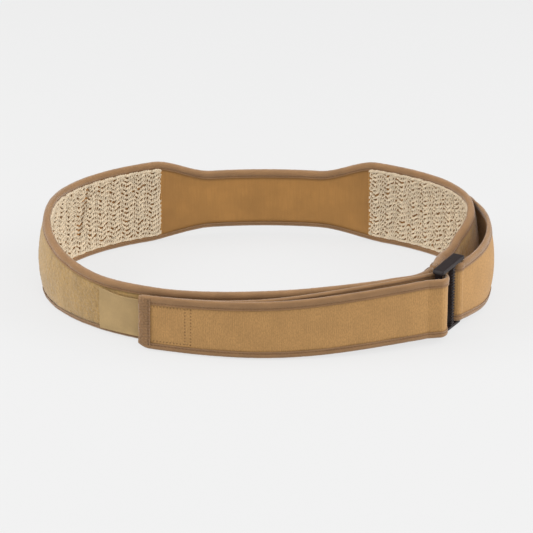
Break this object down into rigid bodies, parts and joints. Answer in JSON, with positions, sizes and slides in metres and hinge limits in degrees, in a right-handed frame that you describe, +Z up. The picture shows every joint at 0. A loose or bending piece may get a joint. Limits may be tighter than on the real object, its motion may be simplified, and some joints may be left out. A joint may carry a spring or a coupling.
{
  "type": "lumbar support belt",
  "caption": "Padded hip and lower-back belt with knitted grip pads, a slide buckle and a hook-ended elastic pull strap.",
  "frame": {"origin": "centre of the closed belt's footprint, on the surface it stands on", "axes": "+X to the wearer's left as seen from the front, along the belt's long axis; +Y towards the wearer's back; +Z up"},
  "size_m": [0.4012, 0.2605, 0.079],
  "materials": {
    "binding": "matt folded binding tape, stitched",
    "foam": "matt laminated foam",
    "lining": "smooth brushed knit",
    "pile": "fuzzy loop pile",
    "grip_mesh": "open chunky knit",
    "webbing": "finely ribbed elastic webbing",
    "tab": "smooth woven tape",
    "hook_tape": "fine hook field",
    "buckle": "satin moulded plastic"
  },
  "bodies": {
    "band": {"band_core": "foam", "band_lining": "lining", "band_pile": "pile", "grip_pad_right": "grip_mesh", "grip_pad_left": "grip_mesh", "band_binding_top": "binding", "band_binding_bottom": "binding", "band_end_binding_right": "binding", "band_end_binding_left": "binding", "fixed_strap": "webbing", "fixed_strap_binding_top": "binding", "fixed_strap_binding_bottom": "binding", "strap_return": "webbing", "strap_return_binding_top": "binding", "strap_return_binding_bottom": "binding", "anchor_base": "tab", "anchor_base_hook": "hook_tape"},
    "buckle": {"buckle_frame": "buckle", "strap_loop": "webbing", "strap_loop_binding_top": "binding", "strap_loop_binding_bottom": "binding"},
    "pull_strap": {"strap_front": "webbing", "strap_front_binding_top": "binding", "strap_front_binding_bottom": "binding"},
    "strap_tab": {"strap_tab": "webbing", "strap_tab_binding_top": "binding", "strap_tab_binding_bottom": "binding", "strap_tab_end_binding": "binding", "strap_tab_hook": "hook_tape"},
    "anchor_tab": {"anchor_tab": "tab", "anchor_tab_hook": "hook_tape"}
  },
  "joints": [
    {"name": "buckle_swing", "type": "hinge", "parent": "band", "child": "buckle", "pos_m": [0.1624, -0.06159, 0.03], "axis": [0, 0, 1], "range_deg": [0, 12]},
    {"name": "pull_strap_swing", "type": "hinge", "parent": "buckle", "child": "pull_strap", "pos_m": [0.12786, -0.1058, 0.03], "axis": [0, 0, 1], "range_deg": [0, 60]},
    {"name": "strap_tab_peel", "type": "hinge", "parent": "pull_strap", "child": "strap_tab", "pos_m": [-0.06331, -0.1224, 0.03], "axis": [0, 0, 1], "range_deg": [0, 75]},
    {"name": "anchor_tab_peel", "type": "hinge", "parent": "band", "child": "anchor_tab", "pos_m": [-0.11061, -0.09463, 0.03], "axis": [0, 0, 1], "range_deg": [0, 60]}
  ]
}
